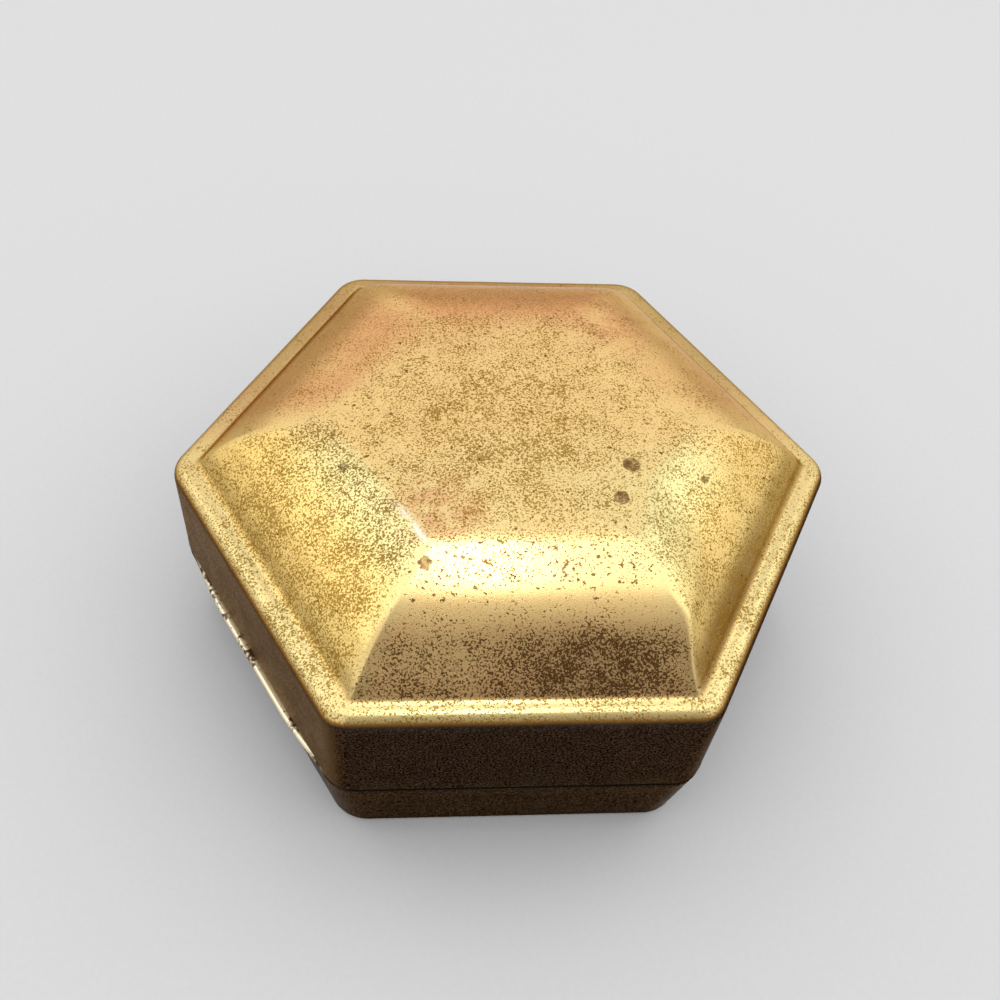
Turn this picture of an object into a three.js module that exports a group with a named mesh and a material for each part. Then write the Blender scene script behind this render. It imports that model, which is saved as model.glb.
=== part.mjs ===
// Hexagonal brass trinket box: a deep pressed lid with a faceted dome lifts off a shallow tray.
// Millimetres, +Z up. The origin is the middle of the tray's underside, and a flat side faces -Y.

import * as THREE from "three";

// Outline of the box
const ACROSS_FLATS = 66;
const SHEET = 1.2;
const WALL_CORNER_RADIUS = 3.8;

// Tray
const TRAY_HEIGHT = 11.2;
const TRAY_TAPER_DEG = 3.5;
const TRAY_BOTTOM_RADIUS = 2.2;
const TRAY_BOTTOM_CORNER_RADIUS = 6.5;
const TRAY_MOUTH_RADIUS = 0.6;

// Lid
const LID_WALL_HEIGHT = 14.2;
const LID_MOUTH_RADIUS = 0.4;
const RIM_EDGE_RADIUS = 1.7;
const RIM_WIDTH = 2.9;
const DOME_RISE = 8;
const DOME_FOOT_RADIUS = 1.2;
const DOME_FOOT_SLOPE_DEG = 58;
const DOME_FOOT_CORNER_RADIUS = 1;
const DOME_TOP_SLOPE_DEG = 13;
const PLATEAU_ACROSS_FLATS = 33.6;
const PLATEAU_CROWN = 0.4;
const PLATEAU_CORNER_RADIUS = 1.2;

// Collar soldered inside the tray, which keeps the lid in place
const COLLAR_SHEET = 0.8;
const COLLAR_DEPTH = 5.5;
const COLLAR_STAND = 4.5;
const COLLAR_LEAD_IN = 0.3;

// Velvet pad on the tray floor
const PAD_THICKNESS = 2.2;
const PAD_CROWN = 0.5;
const PAD_EDGE_RADIUS = 0.8;

// Clearances
const SEAM_GAP = 0.2;
const LID_CLEARANCE = 0.3;
const SOLDER_GAP = 0.1;
const PAD_CLEARANCE = 0.3;

// Fineness of the facets
const CORNER_STEPS = 6;
const ARC_STEPS = 5;
const CURVE_STEPS = 8;
const SAME_POINT = 1e-4;
const LEAST_CORNER_RADIUS = 0.3;

// Sizes that follow from those above
const SIDES = 6;
const APOTHEM = ACROSS_FLATS / 2;
const LID_FOOT = TRAY_HEIGHT + SEAM_GAP;
const RIM_TOP = LID_FOOT + LID_WALL_HEIGHT;
const DOME_TOP = RIM_TOP + DOME_RISE;
const DOME_FOOT_APOTHEM = APOTHEM - RIM_WIDTH;
const PLATEAU_APOTHEM = PLATEAU_ACROSS_FLATS / 2;
const COLLAR_BOTTOM = TRAY_HEIGHT - COLLAR_DEPTH;
const COLLAR_TOP = TRAY_HEIGHT + COLLAR_STAND;

const lerp = THREE.MathUtils.lerp;
const clamp = THREE.MathUtils.clamp;
const slope = (degrees) => Math.tan(THREE.MathUtils.degToRad(degrees));
const at = (apothem, z) => new THREE.Vector2(apothem, z);

// Sections and lofts

// Points of a hexagon with round corners, counter-clockwise from above
function hexagonPoints({ apothem, corner, z }) {
  if (apothem < SAME_POINT) {
    return [new THREE.Vector3(0, 0, z)];
  }
  const radius = clamp(corner, LEAST_CORNER_RADIUS * Math.min(1, apothem / APOTHEM), apothem);
  const reach = (apothem - radius) / Math.cos(Math.PI / SIDES);
  const points = [];
  for (let side = 0; side < SIDES; side++) {
    const middle = (side * 2 * Math.PI) / SIDES;
    for (let step = 0; step <= CORNER_STEPS; step++) {
      const angle = middle + ((step / CORNER_STEPS) * 2 - 1) * (Math.PI / SIDES);
      const x = reach * Math.cos(middle) + radius * Math.cos(angle);
      const y = reach * Math.sin(middle) + radius * Math.sin(angle);
      points.push(new THREE.Vector3(x, y, z));
    }
  }
  return points;
}

// Skins a run of sections. The outside runs upwards and the inside downwards.
// A run that isn't closed on itself starts and ends at a point on the axis.
function loft(sections, closed = false) {
  const rings = sections.map(hexagonPoints);
  const starts = [];
  const positions = [];
  for (const ring of rings) {
    starts.push(positions.length / 3);
    ring.forEach((point) => positions.push(point.x, point.y, point.z));
  }
  const triangles = [];
  const spans = closed ? rings.length : rings.length - 1;
  for (let span = 0; span < spans; span++) {
    const next = (span + 1) % rings.length;
    const near = (j) => starts[span] + (j % rings[span].length);
    const far = (j) => starts[next] + (j % rings[next].length);
    const count = Math.max(rings[span].length, rings[next].length);
    for (let j = 0; j < count; j++) {
      if (rings[span].length > 1) {
        triangles.push(near(j), near(j + 1), far(j + 1));
      }
      if (rings[next].length > 1) {
        triangles.push(near(j), far(j + 1), far(j));
      }
    }
  }
  const geometry = new THREE.BufferGeometry();
  geometry.setAttribute("position", new THREE.Float32BufferAttribute(positions, 3));
  geometry.setIndex(triangles);
  geometry.computeVertexNormals();
  return geometry;
}

// Profiles, drawn as apothem against height

// Moves a polyline sideways, towards the left of its run, with each leg kept parallel
function offsetPolyline(points, distance) {
  const normals = points.slice(1).map((point, i) => {
    const leg = point.clone().sub(points[i]).normalize();
    return new THREE.Vector2(-leg.y, leg.x);
  });
  return points.map((point, i) => {
    const before = normals[Math.max(i - 1, 0)];
    const after = normals[Math.min(i, normals.length - 1)];
    const mitre = before.clone().add(after).divideScalar(1 + before.dot(after));
    return point.clone().addScaledVector(mitre, distance);
  });
}

// Draws a line to a corner and rounds the corner off towards the next point
function roundCorner(path, corner, next, radius) {
  const back = path.currentPoint.clone().sub(corner).normalize();
  const ahead = next.clone().sub(corner).normalize();
  const half = Math.acos(clamp(back.dot(ahead), -1, 1)) / 2;
  const inwards = back.clone().add(ahead).normalize();
  const centre = corner.clone().addScaledVector(inwards, radius / Math.sin(half));
  const start = corner.clone().addScaledVector(back, radius / Math.tan(half));
  const end = corner.clone().addScaledVector(ahead, radius / Math.tan(half));
  path.lineTo(start.x, start.y);
  const startAngle = start.sub(centre).angle();
  const endAngle = end.sub(centre).angle();
  path.absarc(centre.x, centre.y, radius, startAngle, endAngle, back.cross(ahead) > 0);
}

// Number of straight steps that stand for a line, an arc or a curve
function stepsAlong(curve) {
  if (curve.isLineCurve) {
    return 1;
  }
  return curve.isEllipseCurve ? ARC_STEPS : CURVE_STEPS;
}

// Points along a path, with doubled points left out
function tracePoints(path) {
  const points = [path.curves[0].getPoint(0)];
  for (const curve of path.curves) {
    for (const point of curve.getPoints(stepsAlong(curve))) {
      if (point.distanceTo(points[points.length - 1]) > SAME_POINT) {
        points.push(point);
      }
    }
  }
  return points;
}

// Tray: a pressed pan with leaning walls, round lower edges and an eased mouth

// Apothem of the tray's outer wall at a height
function trayApothem(z) {
  return APOTHEM - (TRAY_HEIGHT - z) * slope(TRAY_TAPER_DEG);
}

// Corner radius of the tray's outer wall at a height
function trayCorner(z) {
  return lerp(TRAY_BOTTOM_CORNER_RADIUS, WALL_CORNER_RADIUS, z / TRAY_HEIGHT);
}

function trayGeometry() {
  const floorEdge = at(trayApothem(0), 0);
  const mouthOuter = at(APOTHEM, TRAY_HEIGHT);
  const mouthInner = at(APOTHEM - SHEET, TRAY_HEIGHT);
  const wellEdge = at(trayApothem(SHEET) - SHEET, SHEET);
  const profile = new THREE.Path();
  profile.moveTo(0, 0);
  roundCorner(profile, floorEdge, mouthOuter, TRAY_BOTTOM_RADIUS);
  roundCorner(profile, mouthOuter, mouthInner, TRAY_MOUTH_RADIUS);
  profile.lineTo(mouthInner.x, mouthInner.y);
  roundCorner(profile, wellEdge, at(0, SHEET), TRAY_BOTTOM_RADIUS - SHEET);
  profile.lineTo(0, SHEET);
  return loft(
    tracePoints(profile).map(({ x: apothem, y: z }) => ({
      apothem,
      z,
      corner: trayCorner(z) - (trayApothem(z) - apothem),
    })),
  );
}

// Lid: a wall, a flat rim with a round edge, and six swelling facets that rise to a plateau

// Corners and control points of the lid's outer surface, from its mouth to its middle
function lidOutline() {
  const plateauEdge = at(PLATEAU_APOTHEM, DOME_TOP - PLATEAU_CROWN);
  const footSlope = slope(DOME_FOOT_SLOPE_DEG);
  const topSlope = slope(DOME_TOP_SLOPE_DEG);
  const run = DOME_FOOT_APOTHEM - PLATEAU_APOTHEM;
  const shoulderRun = (footSlope * run - (plateauEdge.y - RIM_TOP)) / (footSlope - topSlope);
  const shoulder = at(PLATEAU_APOTHEM + shoulderRun, plateauEdge.y - shoulderRun * topSlope);
  return {
    mouth: at(APOTHEM, LID_FOOT),
    rim: at(APOTHEM, RIM_TOP),
    foot: at(DOME_FOOT_APOTHEM, RIM_TOP),
    shoulder,
    plateauEdge,
    crown: at(PLATEAU_APOTHEM / 2, DOME_TOP),
    middle: at(0, DOME_TOP),
  };
}

// The same corners and control points on a surface that lies deeper in the sheet
function insetOutline(outline, depth) {
  const names = Object.keys(outline);
  const moved = offsetPolyline(Object.values(outline), depth);
  return Object.fromEntries(names.map((name, i) => [name, moved[i]]));
}

// Draws the lid's rim, facet and plateau from a path's end to the middle of the lid
function drawLidTop(path, outline, depth) {
  roundCorner(path, outline.rim, outline.foot, RIM_EDGE_RADIUS - depth);
  roundCorner(path, outline.foot, outline.shoulder, DOME_FOOT_RADIUS + depth);
  const { shoulder, plateauEdge, crown, middle } = outline;
  path.quadraticCurveTo(shoulder.x, shoulder.y, plateauEdge.x, plateauEdge.y);
  path.quadraticCurveTo(crown.x, crown.y, middle.x, middle.y);
}

// Corner radius of the lid's outer surface where its section has this apothem
function lidCorner(apothem) {
  if (apothem > DOME_FOOT_APOTHEM) {
    const share = (APOTHEM - apothem) / RIM_WIDTH;
    return lerp(WALL_CORNER_RADIUS, DOME_FOOT_CORNER_RADIUS, share);
  }
  if (apothem > PLATEAU_APOTHEM) {
    const share = (DOME_FOOT_APOTHEM - apothem) / (DOME_FOOT_APOTHEM - PLATEAU_APOTHEM);
    return lerp(DOME_FOOT_CORNER_RADIUS, PLATEAU_CORNER_RADIUS, share);
  }
  return (PLATEAU_CORNER_RADIUS * apothem) / PLATEAU_APOTHEM;
}

function lidGeometry() {
  const outer = lidOutline();
  const inner = insetOutline(outer, SHEET);
  const outside = new THREE.Path();
  outside.moveTo(inner.mouth.x, LID_FOOT);
  roundCorner(outside, outer.mouth, outer.rim, LID_MOUTH_RADIUS);
  drawLidTop(outside, outer, 0);
  const inside = new THREE.Path();
  inside.moveTo(inner.mouth.x, LID_FOOT);
  drawLidTop(inside, inner, SHEET);
  const insideSections = tracePoints(inside).map(({ x: apothem, y: z }) => ({
    apothem,
    z,
    corner: lidCorner(apothem + SHEET) - SHEET,
  }));
  const outsideSections = tracePoints(outside).map(({ x: apothem, y: z }) => ({
    apothem,
    z,
    corner: lidCorner(apothem),
  }));
  return loft([...insideSections.reverse(), ...outsideSections.slice(1)]);
}

// Collar: a brass strip bent round the inside of the tray, standing up into the lid

function collarGeometry() {
  const standApothem = APOTHEM - SHEET - LID_CLEARANCE;
  const heelApothem = Math.min(standApothem, trayApothem(COLLAR_BOTTOM) - SHEET - SOLDER_GAP);
  const profile = [
    at(heelApothem, COLLAR_BOTTOM),
    at(standApothem, TRAY_HEIGHT),
    at(standApothem, COLLAR_TOP - COLLAR_LEAD_IN),
    at(standApothem - COLLAR_LEAD_IN, COLLAR_TOP),
    at(standApothem - COLLAR_SHEET, COLLAR_TOP),
    at(standApothem - COLLAR_SHEET, TRAY_HEIGHT),
    at(heelApothem - COLLAR_SHEET, COLLAR_BOTTOM),
  ];
  return loft(
    profile.map(({ x: apothem, y: z }) => ({
      apothem,
      z,
      corner: trayCorner(Math.min(z, TRAY_HEIGHT)) - (trayApothem(Math.min(z, TRAY_HEIGHT)) - apothem),
    })),
    true,
  );
}

// Pad: velvet over card, rolled at the edge and slightly crowned, lying on the tray floor

function padGeometry() {
  const floorFlat = trayApothem(SHEET) - TRAY_BOTTOM_RADIUS;
  const apothem = floorFlat - PAD_CLEARANCE + PAD_EDGE_RADIUS;
  const shoulder = SHEET + PAD_THICKNESS - PAD_CROWN;
  const top = SHEET + PAD_THICKNESS;
  const profile = new THREE.Path();
  profile.moveTo(0, SHEET);
  roundCorner(profile, at(apothem, SHEET), at(apothem, shoulder), PAD_EDGE_RADIUS);
  roundCorner(profile, at(apothem, shoulder), at(0, top), PAD_EDGE_RADIUS);
  profile.quadraticCurveTo(apothem / 2, top, 0, top);
  const corner = trayCorner(SHEET) - SHEET;
  return loft(
    tracePoints(profile).map((point) => ({
      apothem: point.x,
      z: point.y,
      corner: (corner * point.x) / apothem,
    })),
  );
}

// Assembly

const agedBrass = new THREE.MeshStandardMaterial({ color: 0xb98f4c, roughness: 0.38, metalness: 1 });
const darkBrass = new THREE.MeshStandardMaterial({ color: 0x8d6d3d, roughness: 0.42, metalness: 1 });
const cleanBrass = new THREE.MeshStandardMaterial({ color: 0xd0ab62, roughness: 0.3, metalness: 1 });
const velvet = new THREE.MeshStandardMaterial({ color: 0x5a1420, roughness: 0.95, metalness: 0 });

function piece(name, geometry, material) {
  const mesh = new THREE.Mesh(geometry, material);
  mesh.name = name;
  return mesh;
}

const box = new THREE.Group();
box.add(
  piece("base_tray", trayGeometry(), darkBrass),
  piece("lip_collar", collarGeometry(), cleanBrass),
  piece("floor_pad", padGeometry(), velvet),
  piece("lid_shell", lidGeometry(), agedBrass),
);

export default box;
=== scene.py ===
"""Looks of a hexagonal brass trinket box: finely lofted shells, aged brass, a velvet pad and studio light."""

import math

import bpy
from mathutils import Matrix, Vector, noise


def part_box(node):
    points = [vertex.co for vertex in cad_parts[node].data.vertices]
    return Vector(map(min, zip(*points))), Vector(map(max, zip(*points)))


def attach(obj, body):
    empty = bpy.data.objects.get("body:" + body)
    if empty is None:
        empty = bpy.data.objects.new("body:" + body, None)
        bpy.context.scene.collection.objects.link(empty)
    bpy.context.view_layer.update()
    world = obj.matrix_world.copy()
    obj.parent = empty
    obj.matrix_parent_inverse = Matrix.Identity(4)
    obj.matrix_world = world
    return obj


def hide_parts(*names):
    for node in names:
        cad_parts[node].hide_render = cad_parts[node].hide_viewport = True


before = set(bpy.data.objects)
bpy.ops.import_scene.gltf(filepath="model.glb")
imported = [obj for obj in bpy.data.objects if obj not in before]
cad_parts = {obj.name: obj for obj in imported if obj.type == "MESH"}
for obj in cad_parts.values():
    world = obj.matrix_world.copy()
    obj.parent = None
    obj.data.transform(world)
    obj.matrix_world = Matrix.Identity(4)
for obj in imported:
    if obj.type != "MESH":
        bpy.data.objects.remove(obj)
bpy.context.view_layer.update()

# Units and places taken from the frame
MM = 0.001
LID_LOW, LID_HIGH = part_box("lid_shell")
COLLAR_LOW, COLLAR_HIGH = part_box("lip_collar")
PAD_LOW, PAD_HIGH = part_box("floor_pad")
APOTHEM = LID_HIGH.y
LID_FOOT = LID_LOW.z
DOME_TOP = LID_HIGH.z
TRAY_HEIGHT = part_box("base_tray")[1].z

# Sheet, walls and corners
SHEET = 1.2 * MM
WALL_CORNER_RADIUS = 3.8 * MM
LEAST_CORNER_RADIUS = 0.3 * MM

# Tray, with an edge that stands a little proud at the left
TRAY_TAPER = math.radians(8)
TRAY_BOTTOM_RADIUS = 1.3 * MM
TRAY_BOTTOM_CORNER_RADIUS = 4.5 * MM
TRAY_WELL_RADIUS = 0.8 * MM
TRAY_MOUTH_RADIUS = 0.35 * MM
TRAY_PROUD_EDGE = 0.7 * MM

# Lid, with softer ridges at the back corners
LID_MOUTH_RADIUS = 0.4 * MM
RIM_EDGE_RADIUS = 1.7 * MM
RIM_WIDTH = 2.9 * MM
DOME_RISE = 8 * MM
DOME_FOOT_RADIUS = 1.2 * MM
DOME_FOOT_SLOPE = math.radians(58)
DOME_FOOT_CORNER_RADIUS = 1 * MM
DOME_TOP_SLOPE = math.radians(13)
PLATEAU_APOTHEM = 16.8 * MM
PLATEAU_CROWN = 0.4 * MM
PLATEAU_CORNER_RADIUS = 1.2 * MM
PLATEAU_EDGE_SOFTNESS = 0.9 * MM
PLATEAU_EDGE_PASSES = 6
SOFT_FOOT_CORNER_RADIUS = 3.2 * MM
SOFT_PLATEAU_CORNER_RADIUS = 5 * MM
RIM_TOP = DOME_TOP - DOME_RISE
DOME_FOOT_APOTHEM = APOTHEM - RIM_WIDTH

# Fuller corner at the dome's front right: its direction, its shift, how far from the ridge it reaches, and
# the apothems between which it fades in from the plateau and out towards the rim
FULL_CORNER_TURN = math.radians(300)
FULL_CORNER_SHIFT = 2.2 * MM
FULL_CORNER_REACH = 10 * MM
FULL_CORNER_FADE_IN = (11 * MM, 19 * MM)
FULL_CORNER_FADE_OUT = (23 * MM, DOME_FOOT_APOTHEM - 0.6 * MM)

# Collar and pad
COLLAR_SHEET = 0.8 * MM
COLLAR_EASE = 0.3 * MM
SOLDER_GAP = 0.1 * MM
PAD_EDGE_RADIUS = 0.8 * MM
PAD_CROWN = 0.5 * MM
PAD_GAP = 0.3 * MM

# Directions that the sides face, in degrees, and the corners at the back, counted from +X towards +Y
SIDE_DEGREES = (30, 90, 150, 210, 270, 330)
BACK_RIGHT, BACK, BACK_LEFT, LEFT, FRONT, RIGHT = SIDE_DEGREES
SIDE_TURNS = [math.radians(degrees) for degrees in SIDE_DEGREES]
SIDES = len(SIDE_DEGREES)
BACK_CORNERS = (1, 2)

# Fineness of the meshes
CORNER_STEPS = 14
SIDE_STEPS = 16
ARC_STEP = math.radians(8)
CURVE_STEPS = 36
LINE_STEP = 0.6 * MM
SUPPORT = 0.12 * MM
SAME_POINT = 1e-7
NORMAL_WEIGHT = 60

# Waves of the hand-finished sheet
UNEVEN_LENGTH = 9 * MM
UNEVEN_DEPTH = 0.07 * MM

# Places on the lid, in plan and in millimetres
SPECK_MIDDLE = (-1.5, -3.0)
STAIN = (7.0, -26.0)
BLUSH_SPOTS = [((-8.3, -12.9), 7.0), ((12.0, 19.0), 9.0), ((2.5, 22.0), 7.0)]

# How softly the sides' masks meet at the corners, in degrees
FRONT_BLEND = 2
BACK_BLEND = 12

# How strongly painted shade darkens the dome's flanks, on the two sides that have it
FLANK_SHADE = {BACK_LEFT: 0.4, RIGHT: 0.45}

# Masks that the tray leaves at nothing
LID_ONLY_MASKS = (
    "worn_and_highlight", "scuff_glint", "grime_and_shade", "stain", "yellow_and_highlight", "amber_and_left_sheen", "copper", "blush", "specks", "speck_depth", "spots",
)

# Colours of the metal, its wear, its dirt and its patina, with the painted highlights, sheen and shade among
# them
TAN = (0.99, 0.69, 0.29)
YELLOW = (0.99, 0.89, 0.42)
GOLD = (0.99, 0.69, 0.18)
COPPER = (0.88, 0.42, 0.20)
BLUSH = (0.84, 0.39, 0.22)
# Worn brass, also used as a painted highlight on the rim and front ridges
WORN_AND_HIGHLIGHT = (0.86, 0.71, 0.32)
BRIGHT = (0.97, 0.92, 0.74)
# Painted reflection along the lips of lid and tray
LIP_GLINT = (0.96, 0.86, 0.60)
AMBER = (0.38, 0.18, 0.035)
# Grime colour, also used as painted shade in the groove and on the flanks
GRIME_AND_SHADE = (0.27, 0.15, 0.055)
STAINED = (0.50, 0.32, 0.15)
SPECK = (0.29, 0.155, 0.016)
AMBER_SPECK = (0.37, 0.205, 0.03)
DARK_SPECK = (0.075, 0.024, 0.003)
BLOTCH = (0.15, 0.070, 0.020)
# Wall patina, made dark enough to stand for painted shade
PATINA_AND_SHADE = (0.010, 0.006, 0.004)
PALER_PATINA_AND_SHADE = (0.102, 0.070, 0.053)
OLIVE = (0.058, 0.047, 0.029)
# Painted sheen on the left wall and along the lips
LEFT_SHEEN = (0.15, 0.085, 0.055)
DUST = (0.24, 0.20, 0.15)
BRASS_EDGE_TINT = (0.96, 0.80, 0.54)
# Duller reflections where shade is painted
GRIME_AND_SHADE_EDGE_TINT = (0.55, 0.40, 0.24)
DARK_WALL_TINT = (0.36, 0.31, 0.28)
LIGHT_WALL_TINT = (0.74, 0.60, 0.48)
# Painted sheen: brighter reflections on the left wall
LEFT_WALL_SHEEN_TINT = (1.0, 0.75, 0.53)

# Corrosion pits on the lid, as places and radii in millimetres
PITS = [
    ((12.3, -6.7, 33.3), 1.1),
    ((10.65, -11.1, 33.3), 1.0),
    ((-10.0, -18.9, 32.6), 0.75),
    ((20.4, -7.5, 31.8), 0.55),
    ((-18.2, -6.6, 32.6), 0.6),
]

# Buffing strokes round the object: the radius that they are unrolled at, and their noise per millimetre
BUFFING_RADIUS = 25.0
BUFFING_ACROSS = 5.0
BUFFING_ALONG = 0.9

# Ragged outlines: noise per millimetre, and the pits' shift in millimetres
RAGGED_PER_MM = 1.8
PIT_SHIFT = 0.4

# Colours of the velvet and the floor
VELVET_DARK = (0.13, 0.008, 0.016)
VELVET_LIGHT = (0.18, 0.011, 0.022)
VELVET_DEEP = (0.05, 0.003, 0.006)
VELVET_SHEEN = (0.9, 0.25, 0.3)
FLOOR_DARK = (0.63, 0.63, 0.64)
FLOOR_LIGHT = (0.67, 0.67, 0.675)

# Camera at the photograph's viewing angle
IMAGE_SIZE = 1000
FOCAL_PX = 1126.1
OPTICAL_AXIS_PX = (486.1, 502.0)
CAMERA_PLACE = Vector((-13.64, -84.05, 122.47)) * MM
CAMERA_YAW = math.radians(7.954)
CAMERA_PITCH = math.radians(50.720)
CAMERA_ROLL = math.radians(6.263)
CAMERA_CLIP_START = 5 * MM
SENSOR_WIDTH = 36.0

# World light at the horizon and above, and the sine of the elevation where it reaches its full level
WORLD_HORIZON = 0.67
WORLD_ABOVE = 0.985
WORLD_FULL_HEIGHT = 0.28

# Grey card that the front facet mirrors, with the tones and the heights between which it fades
FLAG_CORNERS = [(-0.16, -0.40, 0.0), (0.28, -0.40, 0.0), (0.19, -0.078, 0.45), (-0.08, -0.078, 0.45)]
FLAG_TONES = (0.45, 0.78)
FLAG_FADE = (0.29, 0.44)

# Lights that shine straight down, as name, place, width, depth and radiance
SOFTBOXES = [
    ("overhead_band", (0.05, 0.075, 0.45), 1.5, 0.30, 0.42),
    ("side_window", (0.44, 0.20, 0.45), 0.24, 0.14, 0.50),
    ("window", (0.061, 0.050, 0.445), 0.108, 0.20, 0.48),
    ("bright_pane", (0.027, 0.050, 0.44), 0.042, 0.20, 2.5),
]

# Half the floor's width, in metres
FLOOR_HALF_WIDTH = 8.0


def lerp(a, b, share):
    return a + (b - a) * share


def clamp(value, low=0.0, high=1.0):
    return max(low, min(high, value))


def smooth(value, low, high):
    share = clamp((value - low) / (high - low))
    return share * share * (3 - 2 * share)


# Profiles, drawn as apothem against height


def point(apothem, z):
    return Vector((apothem, z))


class Profile:
    """A run of points with straight stretches, round corners and curves."""

    def __init__(self, start):
        self.points = [start]

    def add(self, new):
        if (new - self.points[-1]).length > SAME_POINT:
            self.points.append(new)

    def line_to(self, end):
        start = self.points[-1]
        length = (end - start).length
        if length < SAME_POINT:
            return
        steps = max(1, round(length / LINE_STEP))
        shares = {step / steps for step in range(1, steps + 1)}
        if length > 3 * SUPPORT:
            shares |= {SUPPORT / length, 1 - SUPPORT / length}
        for share in sorted(shares):
            self.add(start.lerp(end, share))

    def round_corner(self, corner, towards, radius):
        back = (self.points[-1] - corner).normalized()
        ahead = (towards - corner).normalized()
        half = math.acos(clamp(back.dot(ahead), -1, 1)) / 2
        centre = corner + (back + ahead).normalized() * (radius / math.sin(half))
        start = corner + back * (radius / math.tan(half))
        self.line_to(start)
        spoke = start - centre
        turn = (math.pi - 2 * half) * (1 if back.cross(ahead) < 0 else -1)
        steps = max(3, round(abs(turn) / ARC_STEP))
        for step in range(1, steps + 1):
            self.add(centre + Matrix.Rotation(turn * step / steps, 2) @ spoke)

    def curve_to(self, control, end):
        start = self.points[-1]
        for step in range(1, CURVE_STEPS + 1):
            share = step / CURVE_STEPS
            self.add(start.lerp(control, share).lerp(control.lerp(end, share), share))

    def soften(self, middle, reach):
        """Rounds a crease off by averaging the points close to it."""
        softened = list(self.points)
        for i in range(1, len(self.points) - 1):
            weight = 1 - smooth((self.points[i] - middle).length, 0, 2 * reach)
            mean = (self.points[i - 1] + self.points[i] * 2 + self.points[i + 1]) / 4
            softened[i] = self.points[i].lerp(mean, weight)
        self.points = softened


def offset_polyline(points, distance):
    """Moves a polyline towards the left of its run, with each leg kept parallel."""
    legs = [(b - a).normalized() for a, b in zip(points, points[1:])]
    normals = [Vector((-leg.y, leg.x)) for leg in legs]
    moved = []
    for i, place in enumerate(points):
        before = normals[max(i - 1, 0)]
        after = normals[min(i, len(normals) - 1)]
        moved.append(place + (before + after) / (1 + before.dot(after)) * distance)
    return moved


# Sections and lofts


def corner_arc(number, apothem, wanted_radius, z):
    """Points round one corner of a hexagon."""
    radius = clamp(wanted_radius, min(LEAST_CORNER_RADIUS, apothem / 4), apothem)
    reach = (apothem - radius) / math.cos(math.pi / SIDES)
    middle = number * 2 * math.pi / SIDES
    arc = []
    for step in range(CORNER_STEPS + 1):
        angle = middle + (step / CORNER_STEPS * 2 - 1) * math.pi / SIDES
        x = reach * math.cos(middle) + radius * math.cos(angle)
        y = reach * math.sin(middle) + radius * math.sin(angle)
        arc.append(Vector((x, y, z)))
    return arc


def hexagon(apothem, corner, back_corner, z):
    """Points of a hexagon with round corners, counter-clockwise from above, or one point on the axis."""
    if apothem < SAME_POINT:
        return [Vector((0, 0, z))]
    radii = [back_corner if number in BACK_CORNERS else corner for number in range(SIDES)]
    arcs = [corner_arc(number, apothem, radius, z) for number, radius in enumerate(radii)]
    ring = []
    for arc, following in zip(arcs, arcs[1:] + arcs[:1]):
        ring.extend(arc)
        ring.extend(arc[-1].lerp(following[0], step / SIDE_STEPS) for step in range(1, SIDE_STEPS))
    return ring


def loft(name, sections, closed=False):
    """Skins sections (apothem, corner, back corner, z, inside), outside upwards and inside downwards."""
    rings = [hexagon(*section[:4]) for section in sections]
    starts, vertices, inside = [], [], []
    for ring, section in zip(rings, sections):
        starts.append(len(vertices))
        vertices.extend(ring)
        inside.extend([section[4]] * len(ring))
    faces = []
    spans = len(rings) if closed else len(rings) - 1
    for span in range(spans):
        following = (span + 1) % len(rings)
        near, far = rings[span], rings[following]
        for j in range(max(len(near), len(far))):
            corners = [
                starts[span] + j % len(near),
                starts[span] + (j + 1) % len(near),
                starts[following] + (j + 1) % len(far),
                starts[following] + j % len(far),
            ]
            faces.append(list(dict.fromkeys(corners)))
    mesh = bpy.data.meshes.new(name)
    mesh.from_pydata(vertices, [], faces)
    mesh.shade_smooth()
    mesh.attributes.new("inside", "FLOAT", "POINT").data.foreach_set("value", inside)
    mesh.update()
    piece = bpy.data.objects.new(name, mesh)
    bpy.context.collection.objects.link(piece)
    piece.modifiers.new("even_normals", "WEIGHTED_NORMAL").weight = NORMAL_WEIGHT
    return piece


def paint(piece, masks_at):
    """Stores the masks that a function gives for each vertex."""
    mesh = piece.data
    rows = [masks_at(vertex.co) for vertex in mesh.vertices]
    for name in rows[0]:
        layer = mesh.attributes.new(name, "FLOAT", "POINT")
        layer.data.foreach_set("value", [row[name] for row in rows])


def make_uneven(piece, amount_at):
    """Sinks the outer surface a little, in waves, as on hand-finished sheet."""
    mesh = piece.data
    inside = mesh.attributes["inside"].data
    normals = [vertex.normal.copy() for vertex in mesh.vertices]
    for vertex, normal, mark in zip(mesh.vertices, normals, inside):
        if mark.value < 0.5:
            wave = (noise.noise(vertex.co / UNEVEN_LENGTH) - 1) / 2
            vertex.co += normal * wave * UNEVEN_DEPTH * amount_at(vertex.co)
    mesh.update()


def side_reach(place):
    """Distance from the axis towards the side that a place lies on, and its lead over the next side."""
    reaches = sorted(place.x * math.cos(turn) + place.y * math.sin(turn) for turn in SIDE_TURNS)
    return reaches[-1], reaches[-1] - reaches[-2]


def facing(place, degrees):
    """1 on the side that faces a direction, fading to 0 past its two corners, more softly at the back."""
    turn = math.degrees(math.atan2(place.y, place.x)) - degrees
    off = abs((turn + 180) % 360 - 180)
    half_side = 180 / SIDES
    blend = lerp(FRONT_BLEND, BACK_BLEND, smooth(place.y, 4 * MM, 14 * MM))
    return 1 - smooth(off, half_side - blend, half_side + blend)


# Lid


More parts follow.
